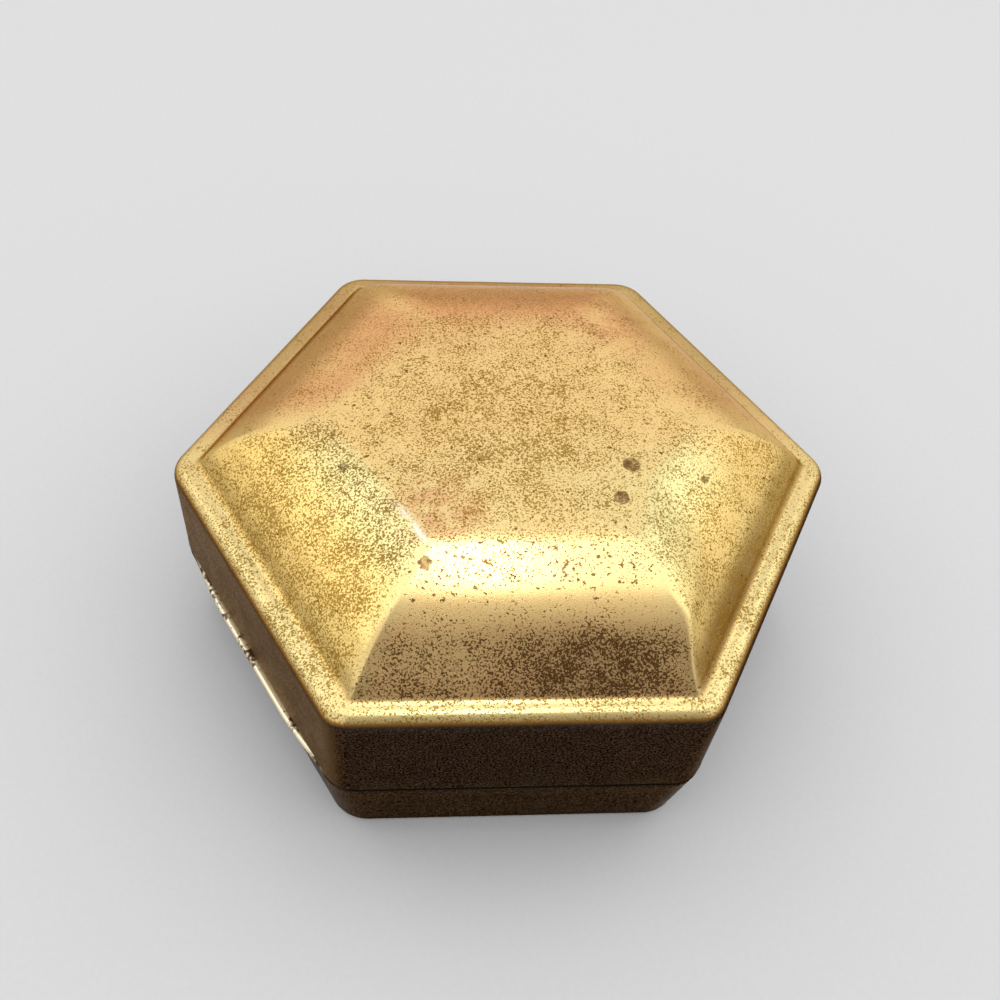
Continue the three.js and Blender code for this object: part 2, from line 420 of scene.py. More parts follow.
def lid_outline():
    """Corners and control points of the lid's outer surface, from its mouth to its middle."""
    plateau_edge = point(PLATEAU_APOTHEM, DOME_TOP - PLATEAU_CROWN)
    foot_slope, top_slope = math.tan(DOME_FOOT_SLOPE), math.tan(DOME_TOP_SLOPE)
    run = DOME_FOOT_APOTHEM - PLATEAU_APOTHEM
    shoulder_run = (foot_slope * run - (plateau_edge.y - RIM_TOP)) / (foot_slope - top_slope)
    return [
        point(APOTHEM, LID_FOOT),
        point(APOTHEM, RIM_TOP),
        point(DOME_FOOT_APOTHEM, RIM_TOP),
        point(PLATEAU_APOTHEM + shoulder_run, plateau_edge.y - shoulder_run * top_slope),
        plateau_edge,
        point(PLATEAU_APOTHEM / 2, DOME_TOP),
        point(0, DOME_TOP),
    ]


def draw_lid_top(profile, outline, depth):
    """Draws the rim, facet and plateau from a profile's end to the middle of the lid."""
    rim, foot, shoulder, plateau_edge, crown, middle = outline[1:]
    profile.round_corner(rim, foot, RIM_EDGE_RADIUS - depth)
    profile.round_corner(foot, shoulder, DOME_FOOT_RADIUS + depth)
    profile.curve_to(shoulder, plateau_edge)
    profile.curve_to(crown, middle)
    for _ in range(PLATEAU_EDGE_PASSES):
        profile.soften(plateau_edge, PLATEAU_EDGE_SOFTNESS)


def lid_corner(apothem, foot_radius, plateau_radius):
    """Corner radius of the lid's outer surface where its section has this apothem."""
    if apothem > DOME_FOOT_APOTHEM:
        return lerp(WALL_CORNER_RADIUS, foot_radius, (APOTHEM - apothem) / RIM_WIDTH)
    if apothem > PLATEAU_APOTHEM:
        share = (DOME_FOOT_APOTHEM - apothem) / (DOME_FOOT_APOTHEM - PLATEAU_APOTHEM)
        return lerp(foot_radius, plateau_radius, share)
    return plateau_radius * apothem / PLATEAU_APOTHEM


def lid_section(place, depth, inside):
    """A section of the lid at a profile point that lies some way under the outer surface."""
    corner = lid_corner(place.x + depth, DOME_FOOT_CORNER_RADIUS, PLATEAU_CORNER_RADIUS)
    back_corner = lid_corner(place.x + depth, SOFT_FOOT_CORNER_RADIUS, SOFT_PLATEAU_CORNER_RADIUS)
    return (place.x, corner - depth, back_corner - depth, place.y, inside)


def make_lid():
    outer = lid_outline()
    inner = offset_polyline(outer, SHEET)
    mouth_inner = point(inner[0].x, LID_FOOT)
    outside = Profile(mouth_inner)
    outside.round_corner(outer[0], outer[1], LID_MOUTH_RADIUS)
    draw_lid_top(outside, outer, 0)
    inside = Profile(mouth_inner)
    draw_lid_top(inside, inner, SHEET)
    sections = [lid_section(place, SHEET, 1.0) for place in reversed(inside.points)]
    sections += [lid_section(place, 0, 0.0) for place in outside.points[1:]]
    lid = loft("lid_brass_shell", sections)
    paint(lid, lambda place: LidPlace(place).masks())
    make_uneven(lid, lambda place: smooth(place.z, LID_FOOT + 0.3 * MM, LID_FOOT + 2 * MM))
    fill_corner(lid)
    return lid


def fill_corner(lid):
    """Moves the front right ridge to the right, where the dome is a little fuller."""
    along = Vector((math.cos(FULL_CORNER_TURN), math.sin(FULL_CORNER_TURN)))
    for vertex in lid.data.vertices:
        apothem = side_reach(vertex.co)[0]
        on_facet = smooth(apothem, *FULL_CORNER_FADE_IN) * (1 - smooth(apothem, *FULL_CORNER_FADE_OUT))
        near = 1 - smooth(abs(along.cross(vertex.co.xy)), 0, FULL_CORNER_REACH)
        if along.dot(vertex.co.xy) > 0:
            vertex.co.x += FULL_CORNER_SHIFT * on_facet * near
    lid.data.update()


class LidPlace:
    """A point on the lid: the sides that it faces, and its shares of wall, rim, dome, facet and ridge."""

    def __init__(self, place):
        self.place = place
        self.apothem, self.lead = side_reach(place)
        self.sides = {degrees: facing(place, degrees) for degrees in SIDE_DEGREES}
        self.left = self.sides[LEFT]
        self.front = self.sides[FRONT]
        self.right = self.sides[RIGHT]
        edge_drop = (RIM_TOP - place.z) / RIM_EDGE_RADIUS
        self.wall = smooth(edge_drop, 0.1 * self.left, lerp(0.65, 0.95, self.left))
        self.rim = self.outward(0, 0.6, DOME_FOOT_APOTHEM) * (1 - self.wall)
        self.on_dome = (1 - self.rim) * (1 - self.wall)
        self.on_facet = self.outward(-0.8, 1.2, PLATEAU_APOTHEM)
        self.to_front = self.forward(-5, 11)
        self.low = self.outward(20, 26)
        self.ridge = self.on_facet * (1 - self.off_ridge(0.2, 1.2)) * self.on_dome * self.to_front

    def outward(self, low_mm, high_mm, start=0.0):
        """0 up to one distance from the axis, or past a start, and 1 from another on."""
        return smooth(self.apothem - start, low_mm * MM, high_mm * MM)

    def off_ridge(self, low_mm, high_mm):
        """0 on the ridges between sides, rising to 1 away from them."""
        return smooth(self.lead, low_mm * MM, high_mm * MM)

    def forward(self, low_mm, high_mm):
        """0 up to one distance in front of the axis, and 1 from another on."""
        return smooth(-self.place.y, low_mm * MM, high_mm * MM)

    def backward(self, low_mm, high_mm):
        """0 up to one distance behind the axis, and 1 from another on."""
        return smooth(self.place.y, low_mm * MM, high_mm * MM)

    def grime_and_shade(self):
        """Painted shade in the groove at the dome's foot and low on some flanks, and a darker rim towards the
        back.
        """
        groove = self.outward(-1.6, -0.4, DOME_FOOT_APOTHEM) * (1 - self.outward(0, 0.5, DOME_FOOT_APOTHEM))
        groove *= lerp(0.6, 0.15, max(self.front, 0.9 * self.left))
        beside = max(self.left, self.right)
        flank = self.outward(-lerp(9, 3.6, beside), -lerp(0, 1, beside), DOME_FOOT_APOTHEM) * self.on_dome
        flank_shade = flank * sum(grime_and_shade * self.sides[side] for side, grime_and_shade in FLANK_SHADE.items())
        flank_shade += 0.35 * flank * self.right * self.forward(6, 20)
        back_rim = 0.5 * self.rim * self.backward(-4, 20)
        return max(groove, flank_shade, back_rim)

    def wear_and_highlight(self):
        """Bare metal on the rim and on the front ridges, with a painted highlight that makes it strongest at
        the front.
        """
        return max(self.rim * lerp(0.3, 1.0, self.forward(-14, 22)), 0.45 * self.ridge)

    def scuff_glint(self):
        """A painted highlight on a rub at the plateau's front left corner."""
        off_edge = smooth(abs(self.apothem - PLATEAU_APOTHEM), 0.1 * MM, 0.55 * MM)
        return (1 - off_edge) * self.left * self.forward(11.5, 13.5)

    def mouth_glint(self):
        """A painted highlight along the lid's lower edge, most at the front left."""
        mouth = 1 - smooth(self.place.z, LID_FOOT + 0.05 * MM, LID_FOOT + 0.4 * MM)
        return mouth * lerp(0.04, 0.22, self.front * smooth(-self.place.x, -6 * MM, 2 * MM))

    def stain(self):
        """A brown stain low on the front facet."""
        return self.front * (1 - away(self.place, STAIN, 2, 14)) * self.outward(23, 26.5) * self.on_dome

    def specks(self):
        """How thickly specks lie: dense on the plateau and the left, thin in the front facet's highlight."""
        highlight = lerp(0.38, 0.22, self.outward(20.5, 22))
        shade = lerp(0.45, 0.88, self.outward(24, 26.5))
        front = lerp(highlight, shade, self.outward(22.5, 23.5))
        left = lerp(0.95, 0.97, self.low) - 0.2 * self.to_front * (1 - self.off_ridge(0.5, 3))
        right = lerp(0.78, 0.8, self.outward(26, 28))
        facet = max(left * self.left, right * self.right, front * self.front, 0.5 * (1 - self.front))
        plateau = 0.97 - 0.25 * away(self.place, SPECK_MIDDLE, 5, 17)
        dome = lerp(plateau, facet, self.on_facet) + 0.3 * self.stain() - 0.1 * self.ridge
        rim = lerp(0.4, 0.7, self.to_front) + 0.15 * self.left
        return lerp(dome, rim, self.rim)

    def speck_depth(self):
        """How dark the specks are: most on the front facet and in its stain."""
        side_depth = max(0.95 * self.front, lerp(0.35, 0.12, self.low) * self.left)
        return max(self.stain(), self.on_facet * self.on_dome * side_depth)

    def copper(self):
        """Reddish metal at the back, and faintly low on the front facet."""
        back = max(self.sides[BACK], 0.5 * self.sides[BACK_RIGHT], 0.7 * self.sides[BACK_LEFT])
        facet = back * self.backward(-2, 6)
        plateau = 0.4 * self.backward(2, 17)
        dome = lerp(plateau, facet, self.outward(-4, 4, PLATEAU_APOTHEM)) * (1 - 0.3 * self.rim)
        return max(dome, 0.4 * self.front * self.outward(22, 26) * self.on_dome)

    def masks(self):
        """Everything that the aged brass asks for at this point."""
        # Paler yellow towards the front, partly a painted highlight
        facet_yellow_and_highlight = (1 - 0.65 * self.front) * (1 - 0.7 * self.low)
        facet_amber = max(self.left, 0.65 * self.right) * self.on_dome * self.outward(18, 24)
        facet_spots = max(self.front * (1 - self.low), 0.35 * self.left, 0.45 * self.right)
        blush = max(1 - away(self.place, centre, reach / 4, reach) for centre, reach in BLUSH_SPOTS)
        return {
            "wall": self.wall,
            "seam": mouth_closeness(self.place.z),
            "gap": mouth_gap(self.place.z),
            "lip_glint": self.mouth_glint(),
            "worn_and_highlight": self.wear_and_highlight(),
            "scuff_glint": self.scuff_glint(),
            "grime_and_shade": self.grime_and_shade(),
            "stain": self.stain(),
            "yellow_and_highlight": self.to_front * lerp(0.42, facet_yellow_and_highlight, self.on_facet),
            # On the left wall this mask paints a sheen; on the lower facets it gives an amber and gold tone
            "amber_and_left_sheen": max(self.wall * self.left, facet_amber),
            "copper": self.copper(),
            "blush": 0.6 * blush * self.on_dome,
            "specks": self.specks(),
            "speck_depth": self.speck_depth(),
            "spots": self.on_dome * lerp(0.5, facet_spots, self.on_facet),
        }


def away(place, centre, near_mm, far_mm):
    """0 near a point in plan, given in millimetres, rising to 1 far from it."""
    return smooth((place.xy - Vector(centre) * MM).length, near_mm * MM, far_mm * MM)


def mouth_closeness(z):
    """1 at the seam between lid and tray, fading away from it."""
    return 1 - smooth(abs(z - TRAY_HEIGHT), 0.5 * MM, 3.5 * MM)


def mouth_gap(z):
    """1 right at the seam, where a painted dark line of shade marks the gap between the two edges."""
    return 1 - smooth(abs(z - TRAY_HEIGHT), 0.05 * MM, 0.3 * MM)


# Tray


def tray_apothem(z):
    return APOTHEM - (TRAY_HEIGHT - z) * math.tan(TRAY_TAPER)


def tray_corner(z):
    return lerp(TRAY_BOTTOM_CORNER_RADIUS, WALL_CORNER_RADIUS, clamp(z / TRAY_HEIGHT))


def make_tray():
    mouth_outer = point(APOTHEM, TRAY_HEIGHT)
    mouth_inner = point(APOTHEM - SHEET, TRAY_HEIGHT)
    profile = Profile(point(0, 0))
    profile.round_corner(point(tray_apothem(0), 0), mouth_outer, TRAY_BOTTOM_RADIUS)
    profile.round_corner(mouth_outer, mouth_inner, TRAY_MOUTH_RADIUS)
    profile.line_to(mouth_inner)
    outside_count = len(profile.points)
    well_edge = point(tray_apothem(SHEET) - SHEET, SHEET)
    profile.round_corner(well_edge, point(0, SHEET), TRAY_WELL_RADIUS)
    profile.line_to(point(0, SHEET))
    sections = []
    for i, place in enumerate(profile.points):
        corner = tray_corner(place.y) - (tray_apothem(place.y) - place.x)
        sections.append((place.x, corner, corner, place.y, 0.0 if i < outside_count else 1.0))
    tray = loft("tray_brass_shell", sections)
    paint(tray, tray_masks)
    make_uneven(tray, tray_unevenness)
    spread_edge(tray)
    return tray


def spread_edge(tray):
    """Moves the tray's outer edge out at the left, where it stands a little proud of the lid."""
    turn = math.radians(LEFT)
    outwards = Vector((math.cos(turn), math.sin(turn), 0))
    inside = tray.data.attributes["inside"].data
    for vertex, mark in zip(tray.data.vertices, inside):
        apothem, lead = side_reach(vertex.co)
        on_left = facing(vertex.co, LEFT) * smooth(lead, 1 * MM, 10 * MM)
        outer = smooth(apothem, APOTHEM - 1.0 * MM, APOTHEM - 0.6 * MM) * (1 - mark.value)
        near_mouth = smooth(vertex.co.z, TRAY_HEIGHT - 4 * MM, TRAY_HEIGHT - 0.5 * MM)
        vertex.co += outwards * TRAY_PROUD_EDGE * on_left * outer * near_mouth
    tray.data.update()


def tray_masks(place):
    """The tray is dark all over, with a painted reflection along its mouth's edge at the left."""
    lead = side_reach(place)[1]
    left = facing(place, LEFT)
    lip_glint = smooth(place.z, TRAY_HEIGHT - 1.1 * MM, TRAY_HEIGHT - 0.4 * MM)
    masks = dict.fromkeys(LID_ONLY_MASKS, 0.0)
    masks["wall"] = 1.0
    masks["seam"] = 0.4 * mouth_closeness(place.z)
    # Painted shade in the seam, except at the left
    masks["gap"] = mouth_gap(place.z) * (1 - left)
    # Painted reflection along the mouth's edge at the left
    masks["lip_glint"] = lip_glint * left * smooth(lead, 2 * MM, 6 * MM)
    return masks


def tray_unevenness(place):
    """Full on the walls, and nothing at the foot and at the mouth."""
    low = smooth(place.z, 0.2 * MM, 2 * MM)
    return low * (1 - smooth(place.z, TRAY_HEIGHT - 2 * MM, TRAY_HEIGHT - 0.6 * MM))


# Collar


def make_collar():
    stand = COLLAR_HIGH.y
    heel = tray_apothem(COLLAR_LOW.z) - SHEET - SOLDER_GAP
    profile = Profile(point(heel, COLLAR_LOW.z))
    profile.line_to(point(stand, TRAY_HEIGHT))
    top_outer = point(stand, COLLAR_HIGH.z)
    top_inner = point(stand - COLLAR_SHEET, COLLAR_HIGH.z)
    profile.round_corner(top_outer, top_inner, COLLAR_EASE)
    profile.round_corner(top_inner, point(stand - COLLAR_SHEET, TRAY_HEIGHT), COLLAR_EASE)
    profile.line_to(point(stand - COLLAR_SHEET, TRAY_HEIGHT))
    profile.line_to(point(heel - COLLAR_SHEET, COLLAR_LOW.z))
    sections = []
    for place in profile.points:
        z = min(place.y, TRAY_HEIGHT)
        corner = tray_corner(z) - (tray_apothem(z) - place.x)
        sections.append((place.x, corner, corner, place.y, 1.0))
    return loft("collar_strip", sections, closed=True)


# Pad


def make_pad():
    apothem = min(PAD_HIGH.y, tray_apothem(PAD_LOW.z) - SHEET - PAD_GAP)
    shoulder = PAD_HIGH.z - PAD_CROWN
    profile = Profile(point(0, PAD_LOW.z))
    profile.round_corner(point(apothem, PAD_LOW.z), point(apothem, shoulder), PAD_EDGE_RADIUS)
    profile.round_corner(point(apothem, shoulder), point(0, PAD_HIGH.z), PAD_EDGE_RADIUS)
    profile.curve_to(point(apothem / 2, PAD_HIGH.z), point(0, PAD_HIGH.z))
    corner = tray_corner(SHEET) - SHEET
    sections = []
    for place in profile.points:
        radius = corner * place.x / apothem
        sections.append((place.x, radius, radius, place.y, 1.0))
    return loft("velvet_pad", sections)


# Materials


class Graph:
    """Short forms for the shader nodes that the materials use."""

    def __init__(self, name):
        self.material = bpy.data.materials.new(name)
        self.material.use_nodes = True
        self.tree = self.material.node_tree
        self.shader = self.tree.nodes["Principled BSDF"]

    def node(self, kind, **settings):
        made = self.tree.nodes.new(kind)
        for key, value in settings.items():
            setattr(made, key, value)
        return made

    def feed(self, socket, value):
        if isinstance(value, bpy.types.NodeSocket):
            self.tree.links.new(value, socket)
        elif isinstance(value, tuple) and len(value) == 3 and socket.type == "RGBA":
            socket.default_value = (*value, 1.0)
        else:
            socket.default_value = value

    def places(self):
        """Coordinates on the piece, in millimetres."""
        coordinates = self.node("ShaderNodeTexCoord")
        scaled = self.node("ShaderNodeVectorMath", operation="SCALE")
        self.feed(scaled.inputs[0], coordinates.outputs["Object"])
        self.feed(scaled.inputs["Scale"], 1 / MM)
        return scaled.outputs[0]

    def mask(self, name):
        return self.node("ShaderNodeAttribute", attribute_name=name).outputs["Fac"]

    def noise(self, places, per_mm, detail=2.0, roughness=0.5, distortion=0.0):
        made = self.node("ShaderNodeTexNoise")
        self.feed(made.inputs["Vector"], places)
        self.feed(made.inputs["Scale"], per_mm)
        self.feed(made.inputs["Detail"], detail)
        self.feed(made.inputs["Roughness"], roughness)
        self.feed(made.inputs["Distortion"], distortion)
        return made.outputs["Fac"]

    def math(self, operation, *values):
        made = self.node("ShaderNodeMath", operation=operation)
        for socket, value in zip(made.inputs, values):
            self.feed(socket, value)
        return made.outputs[0]

    def vary(self, places, amount):
        """Places shifted a little by noise, for ragged outlines."""
        shift = self.node("ShaderNodeTexNoise")
        self.feed(shift.inputs["Vector"], places)
        self.feed(shift.inputs["Scale"], RAGGED_PER_MM)
        moved = self.node("ShaderNodeVectorMath", operation="MULTIPLY_ADD")
        self.feed(moved.inputs[0], shift.outputs["Color"])
        self.feed(moved.inputs[1], (2 * amount, 2 * amount, 2 * amount))
        self.feed(moved.inputs[2], places)
        centred = self.node("ShaderNodeVectorMath", operation="SUBTRACT")
        self.feed(centred.inputs[0], moved.outputs[0])
        self.feed(centred.inputs[1], (amount, amount, amount))
        return centred.outputs[0]

    def around(self, places):
        """Places unrolled about the axis, so that noise on them runs round the object in streaks."""
        split = self.node("ShaderNodeSeparateXYZ")
        self.feed(split.inputs[0], places)
        x, y = split.outputs["X"], split.outputs["Y"]
        radius = self.math("SQRT", self.math("MULTIPLY_ADD", x, x, self.math("MULTIPLY", y, y)))
        turn = self.math("ARCTAN2", y, x)
        unrolled = self.node("ShaderNodeCombineXYZ")
        self.feed(unrolled.inputs["X"], self.math("MULTIPLY", radius, BUFFING_ACROSS))
        self.feed(unrolled.inputs["Y"], self.math("MULTIPLY", turn, BUFFING_ALONG * BUFFING_RADIUS))
        return unrolled.outputs[0]

    def range(self, value, low, high, to_low=0.0, to_high=1.0):
        made = self.node("ShaderNodeMapRange", interpolation_type="SMOOTHSTEP")
        for socket, given in zip(made.inputs, (value, low, high, to_low, to_high)):
            self.feed(socket, given)
        return made.outputs[0]

    def mix(self, share, a, b):
        made = self.node("ShaderNodeMix", data_type="RGBA")
        self.feed(made.inputs["Factor"], share)
        self.feed(made.inputs[6], a)
        self.feed(made.inputs[7], b)
        return made.outputs[2]

    def near(self, places, centre, inner, outer):
        """1 close to a point, fading to 0, in millimetres."""
        distance = self.node("ShaderNodeVectorMath", operation="DISTANCE")
        self.feed(distance.inputs[0], places)
        self.feed(distance.inputs[1], centre)
        return self.range(distance.outputs["Value"], inner, outer, 1.0, 0.0)

    def bump(self, height, depth_mm):
        made = self.node("ShaderNodeBump")
        self.feed(made.inputs["Distance"], depth_mm * MM)
        self.feed(made.inputs["Height"], height)
        self.feed(self.shader.inputs["Normal"], made.outputs[0])

    def set(self, **sockets):
        for name, value in sockets.items():
            self.feed(self.shader.inputs[name.replace("_", " ")], value)


def aged_brass():
    """Brass with specks, blotches, pits, dark walls and painted highlights and shade, laid out by the masks
    on the mesh.
    """
    g = Graph("aged_brass")
    places = g.places()
    wall = g.mask("wall")
    wide = g.noise(places, 0.07, 3.0)
    cluster = g.noise(places, 0.30, 4.0, 0.6)
    middling = g.noise(places, 1.7, 3.0)
    fine = g.noise(places, 4.4, 3.0, 0.6, 0.4)
    grain = g.noise(places, 9.0, 2.0)
    strokes = g.noise(g.around(places), 1.0, 2.0, 0.6)

    brass = brass_tones(g, wide, cluster, fine, strokes)
    specks = g.range(g.math("ADD", fine, speck_level(g, cluster)), -0.035, 0.035)
    speck = g.mix(g.mask("speck_depth"), g.mix(g.mask("amber_and_left_sheen"), SPECK, AMBER_SPECK), DARK_SPECK)
    brass = g.mix(g.math("MULTIPLY", g.range(grain, 0.42, 0.68), 0.25), brass, SPECK)
    brass = g.mix(g.math("MULTIPLY", specks, 0.9), brass, speck)
    blotches = g.range(g.math("MULTIPLY_ADD", g.mask("spots"), 0.11, middling), 0.715, 0.745)
    brass = g.mix(g.math("MULTIPLY", blotches, 0.92), brass, BLOTCH)
    # Painted highlight on the rub
    brass = g.mix(g.math("MULTIPLY", g.mask("scuff_glint"), g.range(cluster, 0.38, 0.5)), brass, BRIGHT)
    pits = pit_marks(g, places)
    brass = g.mix(g.math("MULTIPLY", pits, g.range(middling, 0.3, 0.7, 0.95, 0.5)), brass, BLOTCH)

    edge = g.math("MULTIPLY_ADD", g.math("SUBTRACT", fine, 0.5), 0.7, wall)
    brass = g.mix(g.range(edge, 0.05, 0.55), brass, AMBER)
    colour = g.mix(g.range(edge, 0.40, 0.95), brass, patina_and_shade_tones(g, cluster, middling, fine, places))

    rough = g.math("MULTIPLY_ADD", specks, 0.22, g.math("MULTIPLY_ADD", grain, 0.08, 0.11))
    rough = g.math("MULTIPLY_ADD", wall, 0.16, g.math("MULTIPLY_ADD", pits, 0.15, rough))
    g.set(Base_Color=colour, Metallic=1.0, Roughness=rough)
    wall_tint = g.mix(g.range(fine, 0.34, 0.68), DARK_WALL_TINT, LIGHT_WALL_TINT)
    # Painted sheen: brighter reflections on the left wall
    wall_tint = g.mix(g.math("MULTIPLY", g.mask("amber_and_left_sheen"), 0.85), wall_tint, LEFT_WALL_SHEEN_TINT)
    # Painted dark line of shade at the seam dulls the reflections
    wall_tint = g.mix(g.mask("gap"), wall_tint, PATINA_AND_SHADE)
    # Painted reflection on the lips brightens their reflections
    wall_tint = g.mix(g.mask("lip_glint"), wall_tint, BRASS_EDGE_TINT)
    # Reflections are dulled where shade is painted in the groove and on the flanks
    brass_tint = g.mix(g.mask("grime_and_shade"), BRASS_EDGE_TINT, GRIME_AND_SHADE_EDGE_TINT)
    g.set(Specular_Tint=g.mix(wall, brass_tint, wall_tint))
    sunk = g.math("MAXIMUM", g.math("MULTIPLY", specks, 0.35), pits)
    g.bump(g.math("MULTIPLY_ADD", sunk, -0.8, g.math("MULTIPLY", grain, 0.3)), 0.02)
    return g.material


def brass_tones(g, wide, cluster, fine, strokes):
    """The clean metal: tan to yellow with a painted highlight towards the front, coppery at the back, worn
    and painted bright on edges, and darker in hollows with painted shade.
    """
    drift = g.math("MULTIPLY_ADD", wide, 0.8, -0.4)
    # Paler yellow towards the front, partly a painted highlight
    tone = g.mix(g.range(g.math("ADD", g.mask("yellow_and_highlight"), drift), 0.1, 0.9), TAN, YELLOW)
    tone = g.mix(g.math("MULTIPLY", g.mask("amber_and_left_sheen"), 0.6), tone, GOLD)
    copper = g.range(g.math("ADD", g.mask("copper"), drift), 0.05, 0.95)
    tone = g.mix(copper, tone, COPPER)
    tone = g.mix(g.math("MULTIPLY", g.mask("blush"), g.range(cluster, 0.35, 0.6)), tone, BLUSH)
    # Worn brass on rim and ridges, painted strongest at the front as a highlight
    tone = g.mix(g.math("MULTIPLY", g.mask("worn_and_highlight"), g.range(cluster, 0.30, 0.55, 0.5, 1.0)), tone, WORN_AND_HIGHLIGHT)
    # Painted shade in the groove and low on the flanks, and a darker rim at the back
    grime_and_shade = g.math("MULTIPLY", g.mask("grime_and_shade"), g.range(fine, 0.35, 0.65, 1.25, 0.75))
    tone = g.mix(grime_and_shade, tone, GRIME_AND_SHADE)
    tone = g.mix(g.math("MULTIPLY", copper, g.range(fine, 0.40, 0.60, 0.0, 0.5)), tone, GRIME_AND_SHADE)
    tone = g.mix(g.range(strokes, 0.62, 0.70, 0.0, 0.35), tone, WORN_AND_HIGHLIGHT)
    tone = g.mix(g.range(strokes, 0.30, 0.38, 0.25, 0.0), tone, GRIME_AND_SHADE)
    return g.mix(g.math("MULTIPLY", g.mask("stain"), 0.6), tone, STAINED)


def speck_level(g, cluster):
    """How far the fine noise is raised towards showing as specks."""
    return g.math("MULTIPLY_ADD", g.mask("specks"), 0.20, g.math("MULTIPLY_ADD", cluster, 0.30, -0.85))


def pit_marks(g, places):
    """1 inside the corrosion pits, with ragged outlines."""
    ragged = g.vary(places, PIT_SHIFT)
    pits = None
    for centre, radius in PITS:
        pit = g.near(ragged, centre, 0.75 * radius, 1.05 * radius)
        pits = g.math("MAXIMUM", pits, pit) if pits else pit
    return pits


def patina_and_shade_tones(g, cluster, middling, fine, places):
    """The dark walls: patina darkened as painted shade, fine grain, olive by the seam, dust, painted sheen at
    the left and painted reflections on the lips.
    """
    # Dark patina, made darker as painted shade, with fine grain
    dark = g.mix(g.range(fine, 0.34, 0.70), PATINA_AND_SHADE, PALER_PATINA_AND_SHADE)
    cloud = g.range(g.noise(places, 0.45, 6.0, 0.75), 0.36, 0.72, 0.35, 0.0)
    dark = g.mix(cloud, dark, PATINA_AND_SHADE)
    olive = g.math("MULTIPLY", g.mask("seam"), g.range(cluster, 0.35, 0.65, 0.0, 0.7))
    dark = g.mix(olive, dark, OLIVE)
    # Painted sheen on the left wall
    dark = g.mix(g.math("MULTIPLY", g.mask("amber_and_left_sheen"), 0.18), dark, LEFT_SHEEN)
    dark = g.mix(g.range(fine, 0.69, 0.74, 0.0, 0.8), dark, DUST)
    # Painted dark line of shade at the seam
    dark = g.mix(g.mask("gap"), dark, PATINA_AND_SHADE)
    # Painted reflection along the lips, broken into ragged pieces
    dark = g.mix(g.math("MULTIPLY", g.mask("lip_glint"), 0.8), dark, LEFT_SHEEN)
    ragged = g.math("MULTIPLY_ADD", g.math("SUBTRACT", middling, 0.5), 0.4, cluster)
    return g.mix(g.math("MULTIPLY", g.mask("lip_glint"), g.range(ragged, 0.40, 0.48)), dark, LIP_GLINT)


def clean_brass():
    """Satin brass of the collar and of the insides."""
    g = Graph("clean_brass")
    places = g.places()
    tone = g.range(g.noise(places, 0.12, 4.0, 0.6), 0.35, 0.65)
    grain = g.noise(places, 6.0, 3.0)
    g.set(Base_Color=g.mix(tone, TAN, YELLOW), Metallic=1.0)
    g.set(Roughness=g.range(grain, 0.3, 0.7, 0.28, 0.42))
    g.bump(grain, 0.006)
    return g.material


def velvet():
    """Dark red velvet with a short pile and an uneven nap."""
    g = Graph("velvet")
    places = g.places()
    nap = g.noise(places, 0.25, 4.0, 0.6)
    pile = g.noise(places, 7.0, 3.0, 0.7)
    colour = g.mix(g.range(nap, 0.35, 0.65), VELVET_DARK, VELVET_LIGHT)
    g.set(Base_Color=g.mix(g.range(pile, 0.3, 0.7), colour, VELVET_DEEP))
    g.set(Roughness=0.9, Sheen_Weight=0.7, Sheen_Roughness=0.35, Sheen_Tint=VELVET_SHEEN)
    g.bump(pile, 0.08)
    return g.material


# Stage


def make_floor():
    mesh = bpy.data.meshes.new("floor")
    half = FLOOR_HALF_WIDTH
    corners = [(-half, -half, 0), (half, -half, 0), (half, half, 0), (-half, half, 0)]
    mesh.from_pydata(corners, [], [(0, 1, 2, 3)])
    floor = bpy.data.objects.new("floor", mesh)
    bpy.context.collection.objects.link(floor)
    g = Graph("pale_floor")
    speckle = g.noise(g.places(), 1.5, 3.0)
    g.set(Base_Color=g.mix(speckle, FLOOR_DARK, FLOOR_LIGHT), Roughness=0.8)
    g.set(Specular_IOR_Level=0.2)
    mesh.materials.append(g.material)


def make_flag():
    """A glowing card that only reflections see, with a tone that changes between two heights."""
    name = "grey_flag"
    mesh = bpy.data.meshes.new(name)
    mesh.from_pydata(FLAG_CORNERS, [], [(0, 1, 2, 3)])
    card = bpy.data.objects.new(name, mesh)
    bpy.context.collection.objects.link(card)
    g = Graph(name)
    height = g.node("ShaderNodeSeparateXYZ")
    g.feed(height.inputs[0], g.places())
    tone = g.node("ShaderNodeMapRange")
    fade = [end / MM for end in FLAG_FADE]
    for socket, value in zip(tone.inputs, (height.outputs["Z"], *fade, *FLAG_TONES)):
        g.feed(socket, value)
    g.set(Base_Color=(0, 0, 0), Specular_IOR_Level=0.0, Emission_Color=(1, 1, 1))
    g.set(Emission_Strength=tone.outputs[0])
    mesh.materials.append(g.material)
    card.visible_camera = False
    card.visible_diffuse = False
    card.visible_shadow = False


def make_softbox(name, place, width, depth, radiance):
    """A rectangle of light that shines straight down and that the camera doesn't see."""
    light = bpy.data.lights.new(name, "AREA")
    light.shape = "RECTANGLE"
    light.size, light.size_y = width, depth
    light.energy = radiance * math.pi * width * depth
    softbox = bpy.data.objects.new(name, light)
    softbox.location = place
    softbox.visible_camera = False
    bpy.context.collection.objects.link(softbox)


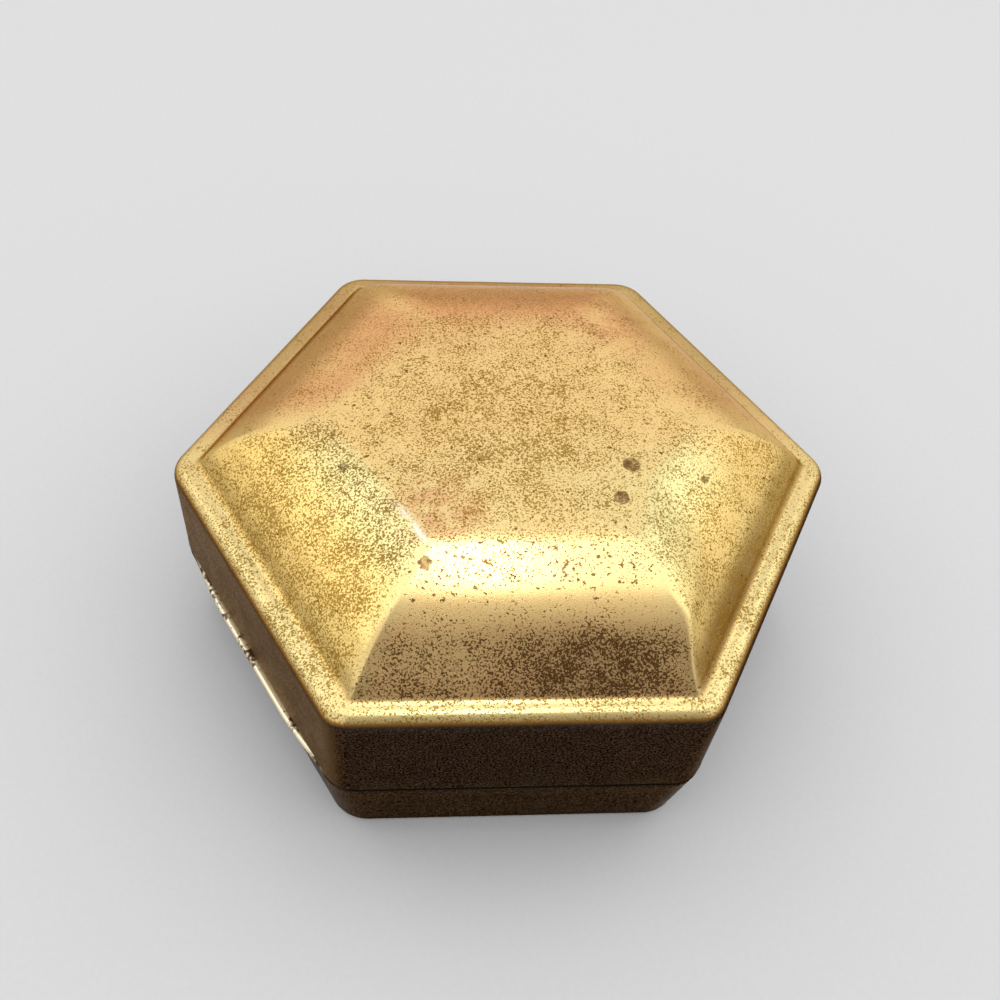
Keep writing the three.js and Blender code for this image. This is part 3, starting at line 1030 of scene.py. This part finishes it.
def make_world():
    """Plain light that starts as pale as the floor at the horizon and soon reaches its full level."""
    world = bpy.data.worlds.new("studio")
    world.use_nodes = True
    nodes, links = world.node_tree.nodes, world.node_tree.links
    direction = nodes.new("ShaderNodeTexCoord")
    split = nodes.new("ShaderNodeSeparateXYZ")
    level = nodes.new("ShaderNodeMapRange")
    level.interpolation_type = "SMOOTHSTEP"
    level.inputs["From Max"].default_value = WORLD_FULL_HEIGHT
    level.inputs["To Min"].default_value = WORLD_HORIZON
    level.inputs["To Max"].default_value = WORLD_ABOVE
    links.new(direction.outputs["Generated"], split.inputs[0])
    links.new(split.outputs["Z"], level.inputs["Value"])
    links.new(level.outputs[0], nodes["Background"].inputs["Strength"])
    nodes["Background"].inputs["Color"].default_value = (1, 1, 1, 1)
    bpy.context.scene.world = world


def make_camera():
    forward = Vector((
        math.sin(CAMERA_YAW) * math.cos(CAMERA_PITCH),
        math.cos(CAMERA_YAW) * math.cos(CAMERA_PITCH),
        -math.sin(CAMERA_PITCH),
    ))
    level_right = Vector((math.cos(CAMERA_YAW), -math.sin(CAMERA_YAW), 0))
    level_up = level_right.cross(forward)
    right = level_right * math.cos(CAMERA_ROLL) + level_up * math.sin(CAMERA_ROLL)
    up = level_up * math.cos(CAMERA_ROLL) - level_right * math.sin(CAMERA_ROLL)
    data = bpy.data.cameras.new("camera")
    data.sensor_width = SENSOR_WIDTH
    data.lens = FOCAL_PX / IMAGE_SIZE * SENSOR_WIDTH
    data.shift_x = 0.5 - OPTICAL_AXIS_PX[0] / IMAGE_SIZE
    data.shift_y = OPTICAL_AXIS_PX[1] / IMAGE_SIZE - 0.5
    data.clip_start = CAMERA_CLIP_START
    camera = bpy.data.objects.new("camera", data)
    rotation = Matrix((right, up, -forward)).transposed().to_4x4()
    camera.matrix_world = Matrix.Translation(CAMERA_PLACE) @ rotation
    bpy.context.collection.objects.link(camera)
    bpy.context.scene.camera = camera


# Assembly


def dress(piece, material, inner_material=None):
    """Puts one material on the outside and, where given, another on the inside."""
    piece.data.materials.append(material)
    if inner_material:
        piece.data.materials.append(inner_material)
        inside = piece.data.attributes["inside"].data
        for face in piece.data.polygons:
            face.material_index = int(all(inside[v].value > 0.5 for v in face.vertices))


outer_brass, inner_brass, pile = aged_brass(), clean_brass(), velvet()

lid = make_lid()
dress(lid, outer_brass, inner_brass)
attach(lid, "lid")
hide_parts("lid_shell")

tray = make_tray()
dress(tray, outer_brass, inner_brass)
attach(tray, "base")
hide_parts("base_tray")

collar = make_collar()
dress(collar, inner_brass)
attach(collar, "base")
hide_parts("lip_collar")

pad = make_pad()
dress(pad, pile)
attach(pad, "base")
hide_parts("floor_pad")

make_floor()
make_flag()
for softbox in SOFTBOXES:
    make_softbox(*softbox)
make_world()
make_camera()
bpy.context.scene.view_settings.view_transform = "Standard"
